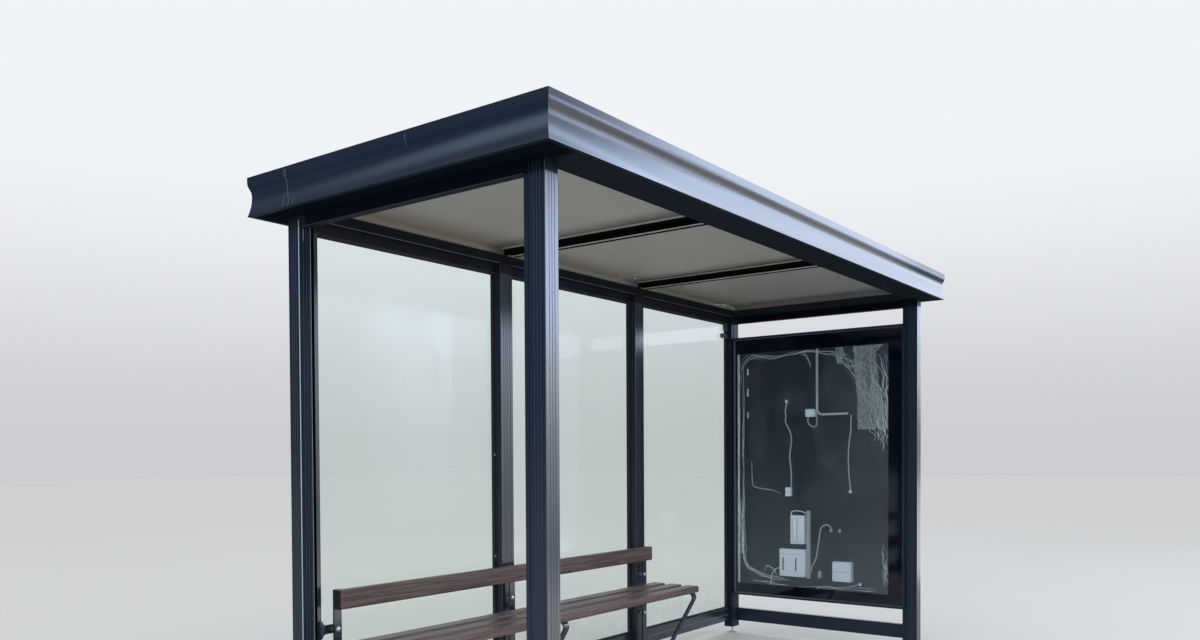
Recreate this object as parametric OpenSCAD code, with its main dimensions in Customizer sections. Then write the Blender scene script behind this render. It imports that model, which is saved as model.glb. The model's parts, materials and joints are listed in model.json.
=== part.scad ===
// Bus shelter with an open front and left end, a glazed back, a lit poster
// case at the right end and a slatted bench along the left two bays.
// Millimetres. +X runs to the poster case, +Y to the glazed back, +Z up.
// The origin is at the middle of the footprint, on the ground.

/* [Frame] */
// Length over the end posts
shelter_l = 3940; // [3200:10:5200]
// Depth over the front and back posts
shelter_d = 1465; // [1300:5:2000]
// Height of the post tops above the ground
post_top = 2395; // [2370:5:2700]
// Number of glazed bays in the back
bay_n = 3; // [3:1:4]

/* [Posts] */
// Side of a post's square part
post_w = 75; // [60:1:100]
// Reach of the glazing flange on a post's side
flange_w = 25; // [16:1:40]
// Step back of the flange from the post's faces
flange_inset = 4; // [2:0.5:8]
// Width of the shadow groove where the flange leaves the square part
groove_w = 5; // [3:0.5:8]
// Depth of the shadow groove
groove_d = 8; // [4:0.5:12]
// Radius of a post's arrises
arris_r = 3; // [1:0.5:8]
// Radius of the flutes along a post's faces
flute_r = 1.5; // [0.5:0.25:2.5]

/* [Feet] */
// Height of the adjustable feet under the posts
foot_h = 50; // [30:1:90]
// Diameter of a foot's threaded stud
stud_dia = 12; // [10:1:30]
// Diameter of a foot's pad
pad_dia = 60; // [50:1:74]
// Thickness of a foot's pad
pad_t = 8; // [5:1:12]
// Width across the flats of a foot's lock nut
nut_af = 19; // [17:1:40]
// Height of a foot's lock nut
nut_h = 10; // [8:1:16]

/* [Roof] */
// Reach of the roof beyond the posts on every side
overhang = 120; // [80:5:250]
// Height of the fascia
fascia_h = 170; // [160:5:220]
// Height of the fascia's upright top lip
lip_h = 23; // [16:1:40]
// Height of the undercut between the lip and the waist
undercut_h = 62; // [40:1:75]
// Height of the undercut's round shoulder below the lip
shoulder_h = 24; // [12:1:36]
// Depth of the fascia's waist behind its lip
waist_d = 14; // [8:1:25]
// Wall of the fascia and of the soffit sheets
sheet_t = 3; // [2:0.5:5]
// Width of the fascia's flange on the roof deck
top_flange_w = 45; // [30:1:60]
// Width of the fascia's flange beside the soffit
low_flange_w = 22; // [12:1:35]
// Thickness of the roof deck
deck_t = 22; // [12:1:40]

/* [Ceiling] */
// Rise of the ceiling's rim above the post tops
rim_z = 45; // [30:1:50]
// Height of the ceiling's rim
rim_h = 30; // [20:1:34]
// Width of the ceiling's rim
rim_w = 18; // [10:1:30]
// Thickness of the ceiling sheet
ceiling_t = 3; // [2:0.5:6]
// Width of the cross bars between the ceiling sheets
cross_w = 50; // [30:1:70]
// Drop of the cross bars below the ceiling sheet
cross_drop = 22; // [10:1:30]

/* [Rails] */
// Thickness of the rails between the posts
rail_t = 40; // [30:1:50]
// Height of the top rails
top_rail_h = 50; // [30:1:80]
// Height of the bottom rails
low_rail_h = 95; // [60:1:120]
// Clearance from the ground to the bottom rails
low_rail_z = 95; // [60:1:140]
// Width of the groove along the bottom rails' inner face
rail_groove_w = 8; // [4:1:14]
// Depth of that groove
rail_groove_d = 4; // [2:0.5:8]
// Radius of the rails' and roof beams' arrises
rail_r = 2; // [1:0.5:5]

/* [Back glass] */
// Thickness of the glass
glass_t = 8; // [5:1:12]
// Width of the beads that hold the glass
bead_w = 14; // [8:1:22]
// Thickness of the beads that hold the glass
bead_t = 10; // [6:1:12]
// Width of the clips at the right pane's upper corner
clip_w = 66; // [40:1:90]
// Thickness of those clips
clip_t = 12; // [6:1:18]

/* [Poster case] */
// Gap between the bottom rail and the case
case_low_gap = 110; // [60:5:200]
// Gap between the case and the top rail
case_top_gap = 115; // [60:5:200]
// Sheet of the case's walls and back
case_t = 4; // [2:0.5:6]
// Width of the door's frame
door_w = 20; // [16:1:30]
// Thickness of the door's frame
door_t = 20; // [14:1:30]
// Clearance between the door's frame and the posts
door_gap = 2; // [1:0.5:3]
// Bevel round the inner edge of the door's frame
door_bevel = 6; // [2:1:10]
// Thickness of the door's glass
pane_t = 6; // [4:1:8]
// Step of the glass behind the face of the door's frame
pane_step = 7; // [2:1:7]
// Diameter of the cable conduit in the case
conduit_dia = 16; // [12:1:25]
// Radius of the conduit's bend
conduit_bend = 40; // [25:5:80]
// Diameter of the leads in the case and along the ceiling
lead_dia = 7; // [4:0.5:10]

/* [Bench] */
// Gap from the end post's outer face to the bench's end
bench_end = 137; // [120:1:300]
// Width of a seat slat
slat_w = 90; // [60:1:110]
// Thickness of a seat slat
slat_t = 40; // [25:1:45]
// Gap between the seat slats
slat_gap = 35; // [10:1:40]
// Number of seat slats
slat_n = 3; // [2:1:3]
// Rounding of the slats' long edges
slat_r = 10; // [2:1:12]
// Height of the seat's underside
seat_z = 490; // [400:5:520]
// Gap between the backrest's face and the rear seat slat
seat_back_gap = 10; // [2:1:40]
// Height of the backrest slat
back_slat_h = 88; // [60:1:120]
// Thickness of the backrest slat
back_slat_t = 45; // [25:1:50]
// Height of the backrest slat's underside
back_slat_z = 672; // [600:1:800]
// Width of the bench's flat bars
bar_w = 40; // [30:1:60]
// Thickness of the bench's flat bars
bar_t = 10; // [6:1:12]
// Radius inside the bend of a leg
bend_r = 22; // [12:1:40]
// Set-back of a leg's knee behind the front slat's face
knee_set = 17; // [0:1:30]
// Rake of a leg's shank from the upright, in degrees
leg_rake = 30; // [10:1:34]
// Stand-off of the uprights from the posts' inner faces
upright_off = 40; // [32:1:60]
// Diameter of the spacers behind the uprights
spacer_dia = 26; // [16:1:34]
// Height of the lower spacer
spacer_low_z = 330; // [250:5:400]
// Height of the upper spacer
spacer_top_z = 580; // [570:5:640]
// Height of the gusset plate where it meets the post
gusset_h = 78; // [62:1:150]

/* [Hidden] */
$fn = 48;

frame_paint = "#1d2430";
soffit_paint = "#15181d";
ceiling_paint = "#8d8a84";
timber = "#5d4240";
bare_steel = "#8b8f94";
glass_tint = "#9fb4b8";

// outer faces of the posts
x_left = -shelter_l / 2;
x_right = shelter_l / 2;
y_front = -shelter_d / 2;
y_back = shelter_d / 2;
// inner faces of the square posts
x_in_left = x_left + post_w;
x_in_right = x_right - post_w;
y_in_front = y_front + post_w;
y_in_back = y_back - post_w;
// a back post with its flange, and the clear bay between two of them
pair_w = post_w + flange_w;
bay_w = (shelter_l - (bay_n + 1) * pair_w) / bay_n;
pitch = bay_w + pair_w;
function bay_x(i) = x_left + pair_w + i * pitch;

post_l = post_top - foot_h;
top_rail_z = post_top - top_rail_h;
glass_z = low_rail_z + low_rail_h;
glass_h = top_rail_z - glass_z;
glass_y = y_back - rail_t / 2 - glass_t / 2;
beam_h = fascia_h - sheet_t - deck_t;
roof_l = shelter_l + 2 * overhang;
roof_d = shelter_d + 2 * overhang;

// 2D shapes

// Points along an arc about c
function arc(c, r, a0, a1, n = 10) =
  [for (i = [0 : n]) c + r * [cos(a0 + (a1 - a0) * i / n), sin(a0 + (a1 - a0) * i / n)]];

module rounded_bar_section(w, h, r) {
  translate([r, 0]) square([w - 2 * r, h]);
  translate([0, r]) square([w, h - 2 * r]);
  for (x = [r, w - r], y = [r, h - r]) translate([x, y]) circle(r);
}

// A square post with fluted faces and, on its +X side, the narrower glazing
// flange behind a shadow groove.
module post_section() {
  flange_d = post_w - 2 * flange_inset;
  difference() {
    union() {
      rounded_bar_section(post_w, post_w, arris_r);
      translate([post_w - 1, flange_inset]) square([flange_w + 1, flange_d]);
    }
    for (y = [flange_inset, post_w - flange_inset - groove_d])
      translate([post_w, y]) square([groove_w, groove_d]);
    for (f = [0.3, 0.5, 0.7]) {
      translate([f * post_w, 0]) circle(flute_r);
      translate([f * post_w, post_w]) circle(flute_r);
      translate([0, f * post_w]) circle(flute_r);
    }
  }
}

// The void outside the fascia's face, grown by g into the metal. Below the lip
// an outward arc and an inward one meet like an S and end at the waist. A
// flatter arc leads from there out to the lower edge.
module fascia_cove(g) {
  low_h = fascia_h - lip_h - undercut_h;
  waist_x = overhang - waist_d;
  bends_r = (undercut_h * undercut_h + waist_d * waist_d) / (2 * waist_d);
  shoulder_r = bends_r * shoulder_h / undercut_h;
  shoulder = [overhang - shoulder_r, fascia_h - lip_h];
  hollow = [waist_x + bends_r - shoulder_r, low_h];
  low_r = (low_h * low_h + waist_d * waist_d) / (2 * waist_d);
  difference() {
    polygon([shoulder, [2 * hollow[0], shoulder[1]], [2 * hollow[0], low_h], hollow]);
    translate(shoulder) circle(shoulder_r - g, $fn = 360);
  }
  intersection() {
    translate(hollow) circle(hollow[0] - waist_x + g, $fn = 360);
    polygon([shoulder, hollow, [0, low_h], [0, shoulder[1]]]);
  }
  intersection() {
    translate([waist_x + low_r, low_h]) circle(low_r + g, $fn = 360);
    translate([waist_x - g - 1, -g - 1]) square([waist_d + g + 2, low_h + g + 1]);
  }
}

// The fascia's extruded section: X out from the posts' faces, Y up from the
// soffit. The top flange lies on the deck, the low flange meets the soffit.
module fascia_section() {
  difference() {
    translate([overhang - top_flange_w, 0]) square([top_flange_w, fascia_h]);
    fascia_cove(0);
    // the hollow behind the face
    difference() {
      translate([overhang - top_flange_w - 1, sheet_t])
        square([top_flange_w + 1 - sheet_t, fascia_h - 2 * sheet_t]);
      fascia_cove(sheet_t);
    }
    translate([overhang - top_flange_w - 1, -1])
      square([top_flange_w + 1 - low_flange_w, sheet_t + 2]);
  }
}

// Roof parts that run round all four sides

// A bar of the given plan length along X on the front side, cut to a mitre at
// both ends. Its child is the section seen from the end: X out, Y up.
module mitred_bar(reach_in, reach_out, half_l, half_d) {
  intersection() {
    translate([-half_l - reach_out, -half_d, 0])
      rotate([90, 0, 90]) mirror([1, 0]) linear_extrude(2 * (half_l + reach_out)) children();
    translate([0, 0, -10]) linear_extrude(fascia_h + 20) polygon([
      [-half_l - reach_out, -half_d - reach_out],
      [half_l + reach_out, -half_d - reach_out],
      [half_l + reach_in, -half_d - reach_in],
      [-half_l - reach_in, -half_d - reach_in]
    ]);
  }
}

module fascia_run(half_l, half_d)
  color(frame_paint) translate([0, 0, post_top])
    mitred_bar(overhang - top_flange_w, overhang, half_l, half_d) fascia_section();

module soffit_run(half_l, half_d)
  color(soffit_paint) translate([0, 0, post_top])
    mitred_bar(0, overhang - low_flange_w, half_l, half_d)
      square([overhang - low_flange_w, sheet_t]);

module front_fascia() fascia_run(shelter_l / 2, shelter_d / 2);
module back_fascia() rotate(180) fascia_run(shelter_l / 2, shelter_d / 2);
module right_fascia() rotate(90) fascia_run(shelter_d / 2, shelter_l / 2);
module left_fascia() rotate(-90) fascia_run(shelter_d / 2, shelter_l / 2);

module front_soffit() soffit_run(shelter_l / 2, shelter_d / 2);
module back_soffit() rotate(180) soffit_run(shelter_l / 2, shelter_d / 2);
module right_soffit() rotate(90) soffit_run(shelter_d / 2, shelter_l / 2);
module left_soffit() rotate(-90) soffit_run(shelter_d / 2, shelter_l / 2);

// Posts and feet

module post_at(x, y) color(frame_paint) translate([x, y, foot_h])
  linear_extrude(post_l) children();

module front_left_post() post_at(x_left, y_front)
  translate([post_w, 0]) rotate(90) post_section();
module front_right_post() post_at(x_in_right, y_front)
  translate([post_w, 0]) rotate(90) post_section();
module back_left_post() post_at(x_left, y_in_back) post_section();
module back_left_mid_post() post_at(x_left + pitch, y_in_back) post_section();
module back_right_mid_post() post_at(x_left + 2 * pitch, y_in_back) post_section();
module back_right_post() post_at(x_in_right, y_in_back)
  translate([post_w, 0]) mirror([1, 0]) post_section();

// the middles of the posts' square parts
function post_spots() = concat(
  [for (x = [x_left, x_in_right]) [x + post_w / 2, y_front + post_w / 2]],
  [for (i = [0 : bay_n - 1]) [x_left + i * pitch + post_w / 2, y_in_back + post_w / 2]],
  [[x_in_right + post_w / 2, y_in_back + post_w / 2]]
);

module levelling_feet() color(bare_steel)
  for (p = post_spots()) translate([p[0], p[1], 0]) {
    cylinder(h = pad_t, d = pad_dia);
    cylinder(h = foot_h, d = stud_dia);
    translate([0, 0, foot_h - nut_h]) cylinder(h = nut_h, d = nut_af / cos(30), $fn = 6);
  }

// Roof ring, deck and ceiling

// Bars with rounded arrises along X and along Y, from their low corner
module bar_x(l, w, h) rotate([90, 0, 90]) linear_extrude(l) rounded_bar_section(w, h, rail_r);
module bar_y(l, w, h) translate([0, l, 0]) rotate([90, 0, 0])
  linear_extrude(l) rounded_bar_section(w, h, rail_r);

module long_roof_beam(y) color(soffit_paint)
  translate([x_left, y, post_top]) bar_x(shelter_l, post_w, beam_h);
module side_roof_beam(x) color(soffit_paint)
  translate([x, y_in_front, post_top]) bar_y(shelter_d - 2 * post_w, post_w, beam_h);
module front_roof_beam() long_roof_beam(y_front);
module back_roof_beam() long_roof_beam(y_in_back);
module left_roof_beam() side_roof_beam(x_left);
module right_roof_beam() side_roof_beam(x_in_right);

module roof_deck() color("#3a3f45")
  translate([-roof_l / 2 + sheet_t, -roof_d / 2 + sheet_t, post_top + beam_h])
    cube([roof_l - 2 * sheet_t, roof_d - 2 * sheet_t, deck_t]);

// The middle of a cross bar, in line with a mid post
function cross_x(i) = x_left + (i + 1) * pitch + post_w / 2;
ceiling_z = post_top + rim_z + rim_h;

module ceiling_cross_bars() color(soffit_paint)
  for (i = [0 : bay_n - 2])
    translate([cross_x(i) - cross_w / 2, y_in_front, ceiling_z - cross_drop])
      cube([cross_w, shelter_d - 2 * post_w, post_top + beam_h - ceiling_z + cross_drop]);

// A ceiling sheet from x0 to x1 with its turned-down rim along the roof beams
module ceiling_tray(x0, x1, rim_left, rim_right) color(ceiling_paint) {
  span_d = shelter_d - 2 * post_w;
  rim_all = rim_h + ceiling_t;
  translate([x0, y_in_front, ceiling_z]) cube([x1 - x0, span_d, ceiling_t]);
  translate([x0, y_in_front, post_top + rim_z]) {
    for (y = [0, span_d - rim_w]) translate([0, y, 0]) cube([x1 - x0, rim_w, rim_all]);
    if (rim_left) cube([rim_w, span_d, rim_all]);
    if (rim_right) translate([x1 - x0 - rim_w, 0, 0]) cube([rim_w, span_d, rim_all]);
  }
}

module left_ceiling()
  ceiling_tray(x_in_left, cross_x(0) - cross_w / 2, true, false);
module middle_ceiling()
  ceiling_tray(cross_x(0) + cross_w / 2, cross_x(1) - cross_w / 2, false, false);
module right_ceiling() {
  ceiling_tray(cross_x(bay_n - 2) + cross_w / 2, x_in_right, false, true);
  for (i = [1 : 1 : bay_n - 3])
    ceiling_tray(cross_x(i) + cross_w / 2, cross_x(i + 1) - cross_w / 2, false, false);
}

// Rails and back glass

module back_rail(i, z, h, grooved) color(frame_paint)
  translate([bay_x(i), y_back - rail_t, z]) difference() {
    bar_x(bay_w, rail_t, h);
    if (grooved) translate([-1, -1, h / 2 - rail_groove_w / 2])
      cube([bay_w + 2, rail_groove_d + 1, rail_groove_w]);
  }

module back_top_rails()
  for (i = [0 : bay_n - 1]) back_rail(i, top_rail_z, top_rail_h, false);
module back_bottom_rails()
  for (i = [0 : bay_n - 1]) back_rail(i, low_rail_z, low_rail_h, true);

end_rail_l = shelter_d - post_w - pair_w;
module end_rail(x, z, h) color(frame_paint)
  translate([x, y_front + pair_w, z]) bar_y(end_rail_l, rail_t, h);
module left_top_rail() end_rail(x_left, top_rail_z, top_rail_h);
module right_top_rail() end_rail(x_right - rail_t, top_rail_z, top_rail_h);
module right_bottom_rail() end_rail(x_right - rail_t, low_rail_z, low_rail_h);

module back_glass(i) color(glass_tint)
  translate([bay_x(i), glass_y, glass_z]) cube([bay_w, glass_t, glass_h]);
module back_left_glass() back_glass(0);
module back_middle_glass() back_glass(1);
module back_right_glass() for (i = [2 : bay_n - 1]) back_glass(i);

// A bead round each pane on its inner face, as one ring
module glazing_beads() color("#0d0f12")
  for (i = [0 : bay_n - 1]) translate([bay_x(i), glass_y - bead_t, glass_z])
    difference() {
      cube([bay_w, bead_t, glass_h]);
      translate([bead_w, -1, bead_w])
        cube([bay_w - 2 * bead_w, bead_t + 2, glass_h - 2 * bead_w]);
    }

// Poster case at the right end

case_y0 = y_front + pair_w;
case_y1 = y_in_back;
case_l = case_y1 - case_y0;
door_y0 = y_in_front + door_gap;
door_l = y_in_back - door_gap - door_y0;
door_x = x_in_right - door_t;
case_z = glass_z + case_low_gap;
case_h = top_rail_z - case_top_gap - case_z;

// An open tray: four walls and a back, its mouth towards the inside
module poster_case() color(frame_paint) translate([x_in_right, case_y0, case_z])
  difference() {
    cube([post_w, case_l, case_h]);
    translate([-1, case_t, case_t])
      cube([post_w + 1 - case_t, case_l - 2 * case_t, case_h - 2 * case_t]);
  }

module poster_door_frame() color(frame_paint) translate([door_x, door_y0, case_z])
  difference() {
    cube([door_t, door_l, case_h]);
    translate([-1, door_w, door_w])
      cube([door_t + 2, door_l - 2 * door_w, case_h - 2 * door_w]);
    // the bevel along the upright and the level inner edges
    for (y = [door_w, door_l - door_w]) translate([0, y, door_w]) rotate(45)
      translate([-door_bevel / sqrt(2), -door_bevel / sqrt(2), 0])
        cube([door_bevel * sqrt(2), door_bevel * sqrt(2), case_h - 2 * door_w]);
    for (z = [door_w, case_h - door_w]) translate([0, door_w, z]) rotate([0, 45, 0])
      translate([-door_bevel / sqrt(2), 0, -door_bevel / sqrt(2)])
        cube([door_bevel * sqrt(2), door_l - 2 * door_w, door_bevel * sqrt(2)]);
  }

module poster_door_glass() color(glass_tint)
  translate([door_x + pane_step, door_y0 + door_w, case_z + door_w])
    cube([pane_t, door_l - 2 * door_w, case_h - 2 * door_w]);

// Units screwed to the case's back. Each row gives the distance from the
// case's front end and the height above its bottom, both of the low corner,
// then the width, height and depth. The cover plates and the lids' lower
// halves are rows that stand a little further out or in.
fittings = [
  [656, 1326, 69, 54, 34], [662, 1332, 57, 42, 38],
  [844, 747, 43, 30, 28], [844, 781, 43, 30, 28], [850, 752, 31, 54, 24],
  [733, 400, 107, 208, 40], [745, 408, 83, 186, 46],
  [697, 150, 26, 495, 22],
  [726, 160, 201, 200, 42], [786, 197, 114, 106, 50],
  [375, 149, 138, 66, 46], [375, 219, 138, 69, 46], [381, 155, 126, 127, 42],
  [614, 159, 20, 51, 18],
  [466, 494, 14, 26, 14], [533, 494, 14, 26, 14],
  [878, 1432, 16, 24, 14], [386, 778, 16, 21, 14], [313, 125, 16, 20, 14]
];
fitting_r = 5;
module poster_case_fittings() color("#c9cdd0")
  for (f = fittings) translate([x_right - case_t - f[4], case_y0 + f[0], case_z + f[1]])
    rotate([90, 0, 90]) linear_extrude(f[4]) rounded_bar_section(f[2], f[3], fitting_r);

// A curve through the points, with k steps between two of them
function spline_point(p, q, r, s, t) = 0.5 * (2 * q + (r - p) * t
  + (2 * p - 5 * q + 4 * r - s) * t * t + (3 * q - p - 3 * r + s) * t * t * t);
function through(pts, k = 3) = let (e = len(pts) - 1) concat(
  [for (i = [0 : e - 1], j = [0 : k - 1]) spline_point(
    pts[max(i - 1, 0)], pts[i], pts[i + 1], pts[min(i + 2, e)], j / k)],
  [pts[e]]
);

// A round lead along points in the XY plane, lying on that plane
lead_sides = 8;
module lead(pts, dia) {
  e = len(pts) - 1;
  reach = dia / 2 / cos(180 / lead_sides);
  function heading(i) = let (d = pts[min(i + 1, e)] - pts[max(i - 1, 0)]) d / norm(d);
  rings = [for (i = [0 : e], j = [0 : lead_sides - 1]) let (
      t = heading(i),
      a = 360 * (j + 0.5) / lead_sides,
      side = reach * cos(a)
    ) [pts[i][0] - t[1] * side, pts[i][1] + t[0] * side, dia / 2 + reach * sin(a)]
  ];
  walls = [for (i = [0 : e - 1], j = [0 : lead_sides - 1]) let (
      n = (j + 1) % lead_sides, a = i * lead_sides, b = a + lead_sides
    ) [a + j, b + j, b + n, a + n]
  ];
  polyhedron(rings, concat(
    walls,
    [[for (j = [0 : lead_sides - 1]) j]],
    [[for (j = [lead_sides - 1 : -1 : 0]) e * lead_sides + j]]
  ));
}

// Leads on the case's back, each as points measured like the fittings. The
// first runs as a loop out of the junction box.
case_leads = [
  [[714, 1324], [718, 1290], [698, 1263], [666, 1250], [648, 1272], [649, 1310],
    [652, 1354]],
  [[886, 1430], [897, 1376], [890, 1328], [897, 1296], [856, 1214], [848, 1143],
    [862, 1050], [854, 960], [850, 890], [851, 812]],
  [[388, 1332], [392, 1270], [392, 1222], [404, 1138], [411, 1050], [409, 970],
    [405, 898], [394, 801]],
  [[692, 200], [686, 240], [656, 299], [642, 378], [632, 440], [622, 505], [602, 537],
    [573, 546], [552, 537], [541, 523]],
  [[929, 214], [955, 211], [985, 194], [1007, 156], [1017, 90], [1018, 5]],
  [[700, 5], [680, 50], [648, 83], [606, 96], [557, 100], [499, 98], [442, 103],
    [386, 116], [330, 135]]
];
conduit_a = 645;
conduit_b = 1341;
conduit_end = 412;

// The conduit drops from the case's top and bends towards the front, with a
// short tail below the bend
module conduit_run() {
  r = conduit_bend;
  lead(concat(
    [[conduit_a, case_h - case_t]],
    arc([conduit_a - r, conduit_b + r], r, 0, -90),
    [[conduit_end, conduit_b]]
  ), conduit_dia);
}

module poster_case_wiring() color("#b9bec2")
  translate([x_right - case_t, case_y0, case_z]) {
    translate([-conduit_dia, 0, 0]) rotate([90, 0, 90]) conduit_run();
    for (pts = case_leads) translate([-lead_dia, 0, 0]) rotate([90, 0, 90])
      lead(through(pts), lead_dia);
  }

// The supply cable crosses the rim in the ceiling's back right corner
// in a low arch: distance from the right roof beam and height above the rim's
// lower edge.
supply_route = [[318, 6], [280, 10], [225, 17], [150, 24], [90, 22], [46, 14], [19, 7]];
supply_clips = [195, 165];
module ceiling_cable() color("#b9bec2")
  translate([x_in_right, y_in_back - rim_w, post_top + rim_z]) rotate([90, 0, 0]) {
    lead(through([for (q = supply_route) [-q[0], q[1]]]), lead_dia);
    for (x = supply_clips) translate([-x - 4, 8, 0]) cube([8, 20, lead_dia + 2]);
  }

// Black clips on the beads at the right pane's upper right corner: a block
// under the rail and a round-ended lug below it
module pane_clips() color("#0d0f12")
  translate([bay_x(bay_n - 1) + bay_w, glass_y - bead_t, top_rail_z]) {
    translate([-clip_w, -clip_t, -0.9 * clip_w]) cube([clip_w, clip_t, 0.9 * clip_w]);
    rotate([90, 0, 0]) linear_extrude(clip_t) translate([0, -1.5 * clip_w]) {
      lug_h = clip_w / 2;
      lug_l = 1.4 * clip_w;
      translate([-lug_l, -lug_h / 2]) square([lug_l, lug_h]);
      translate([-lug_l, 0]) circle(lug_h / 2);
    }
  }

// Bench

bench_x0 = x_left + bench_end;
upright_y = y_in_back - upright_off;
seat_back_y = upright_y - back_slat_t - seat_back_gap;
seat_front_y = seat_back_y - slat_n * slat_w - (slat_n - 1) * slat_gap;
// the middles of the uprights: the bench's end and the two mid posts
upright_x = [bench_x0 + bar_w / 2, cross_x(0), cross_x(1)];
bench_l = upright_x[2] + bar_w / 2 - bench_x0;

module slat(l, w, t) rotate([90, 0, 90]) linear_extrude(l) rounded_bar_section(w, t, slat_r);

module seat_slats() color(timber)
  for (i = [0 : slat_n - 1])
    translate([bench_x0, seat_front_y + i * (slat_w + slat_gap), seat_z])
      slat(bench_l, slat_w, slat_t);

module backrest_slat() color(timber)
  translate([bench_x0, upright_y - back_slat_t, back_slat_z])
    slat(bench_l, back_slat_t, back_slat_h);

module bench_uprights() color(frame_paint)
  for (x = upright_x) translate([x - bar_w / 2, upright_y, 0])
    cube([bar_w, bar_t, back_slat_z + back_slat_h]);

// A leg in side view, X to the back and Y up: an arm under the slats, a round
// knee and a raking shank down to the ground.
module leg_side() {
  outer_r = bend_r + bar_t;
  centre = [seat_front_y + knee_set + outer_r, seat_z - outer_r];
  low_angle = 180 + leg_rake;
  // where the shank's two faces meet the ground
  function foot(r) = [centre[0] + r * cos(low_angle)
    + (centre[1] + r * sin(low_angle)) * tan(leg_rake), 0];
  polygon(concat(
    [[upright_y, seat_z]], arc(centre, outer_r, 90, low_angle), [foot(outer_r), foot(bend_r)],
    arc(centre, bend_r, low_angle, 90), [[upright_y, seat_z - bar_t]]
  ));
}

module bench_legs() color(frame_paint)
  for (x = upright_x) translate([x - bar_w / 2, 0, 0])
    rotate([90, 0, 90]) linear_extrude(bar_w) leg_side();

// A plate on the end post's inner face, drawn in to the upright's width with
// a round hollow above and below
gusset_y = y_in_back + flange_inset;
module bench_gusset() color(frame_paint) translate([x_left + pair_w, gusset_y, spacer_top_z])
  rotate([90, 0, 0]) linear_extrude(bar_t) difference() {
    hollow_r = (gusset_h - bar_w) / 2;
    end_x = upright_x[0] + bar_w / 2 - x_left - pair_w;
    translate([-flange_w / 2, -gusset_h / 2]) square([flange_w / 2 + end_x, gusset_h]);
    for (s = [-1, 1]) translate([hollow_r, s * gusset_h / 2]) {
      circle(hollow_r);
      translate([0, -hollow_r]) square([end_x, 2 * hollow_r]);
    }
  }

// Spacers between the uprights and the posts, and at the end between the
// upright and the gusset plate
module bench_spacers() color(bare_steel) {
  for (i = [1, 2], z = [spacer_low_z, spacer_top_z])
    translate([upright_x[i], upright_y + bar_t, z]) rotate([-90, 0, 0])
      cylinder(h = upright_off - bar_t, d = spacer_dia);
  translate([upright_x[0], upright_y + bar_t, spacer_top_z]) rotate([-90, 0, 0])
    cylinder(h = gusset_y - 2 * bar_t - upright_y, d = spacer_dia);
}

front_left_post();
front_right_post();
back_left_post();
back_left_mid_post();
back_right_mid_post();
back_right_post();
levelling_feet();
front_roof_beam();
back_roof_beam();
left_roof_beam();
right_roof_beam();
ceiling_cross_bars();
left_ceiling();
middle_ceiling();
right_ceiling();
roof_deck();
front_fascia();
back_fascia();
left_fascia();
right_fascia();
front_soffit();
back_soffit();
left_soffit();
right_soffit();
back_top_rails();
left_top_rail();
right_top_rail();
back_bottom_rails();
right_bottom_rail();
back_left_glass();
back_middle_glass();
back_right_glass();
glazing_beads();
poster_case();
poster_door_frame();
poster_door_glass();
poster_case_fittings();
pane_clips();
poster_case_wiring();
ceiling_cable();
seat_slats();
backrest_slat();
bench_uprights();
bench_legs();
bench_gusset();
bench_spacers();
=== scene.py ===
# %% [markdown]
# # A bus shelter, finished for its photograph
# The shelter's posts, rails, roof, glass, bench and poster case arrive here
# as finished solids. This script gives each of them its surface, adds the
# trim too fine for the solids, and lights the whole like a small studio.
# Lengths are metres: X runs along the shelter towards the poster case, Y
# towards the glazed back and Z upwards.

# %% Load the shelter
import json
import math
import bpy
import numpy as np
from mathutils import Matrix, Vector


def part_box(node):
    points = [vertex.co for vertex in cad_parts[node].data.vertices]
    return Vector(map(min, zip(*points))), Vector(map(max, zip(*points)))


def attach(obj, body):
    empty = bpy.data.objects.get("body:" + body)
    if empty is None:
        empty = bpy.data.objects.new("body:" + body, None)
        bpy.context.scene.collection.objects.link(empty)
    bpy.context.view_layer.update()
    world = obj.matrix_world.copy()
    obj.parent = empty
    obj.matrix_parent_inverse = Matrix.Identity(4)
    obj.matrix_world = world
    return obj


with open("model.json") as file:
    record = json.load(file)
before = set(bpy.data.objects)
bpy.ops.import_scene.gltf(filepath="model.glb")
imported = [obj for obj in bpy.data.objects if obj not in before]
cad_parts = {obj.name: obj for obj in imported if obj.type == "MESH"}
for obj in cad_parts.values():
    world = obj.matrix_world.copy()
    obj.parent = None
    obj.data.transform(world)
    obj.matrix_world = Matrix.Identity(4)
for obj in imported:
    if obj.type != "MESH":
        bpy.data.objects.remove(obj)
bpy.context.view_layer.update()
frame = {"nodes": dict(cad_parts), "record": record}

nodes = frame["nodes"]

# %% [markdown]
# ## The camera
# The photograph was taken from in front of the left end, from 1.35 m above
# the floor. Its place and turn were worked out from the shelter's own edges.
# The frame reaches higher than the lens looks, which the vertical shift
# repeats: a shift keeps the posts upright, where tilting the camera would
# make them lean.

# %% Camera
yaw, pitch, roll = math.radians(53.209), math.radians(-1.111), math.radians(-0.292)
ahead = Vector((math.sin(yaw) * math.cos(pitch), math.cos(yaw) * math.cos(pitch), math.sin(pitch)))
level = Vector((math.cos(yaw), -math.sin(yaw), 0))
upright = level.cross(ahead)
right = math.cos(roll) * level + math.sin(roll) * upright
up = math.cos(roll) * upright - math.sin(roll) * level
lens = bpy.data.cameras.new("eye_level_camera")
lens.sensor_width = 36
lens.lens = 28.79
lens.shift_y = 0.129
camera_place = (-4.535, -2.884, 1.348)
camera = bpy.data.objects.new("eye_level_camera", lens)
camera.matrix_world = Matrix.Translation(camera_place) @ Matrix((right, up, -ahead)).transposed().to_4x4()
bpy.context.scene.collection.objects.link(camera)
bpy.context.scene.camera = camera
bpy.context.scene.view_settings.view_transform = "Standard"
print("camera at", [round(v, 3) for v in camera.matrix_world.translation])

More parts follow.
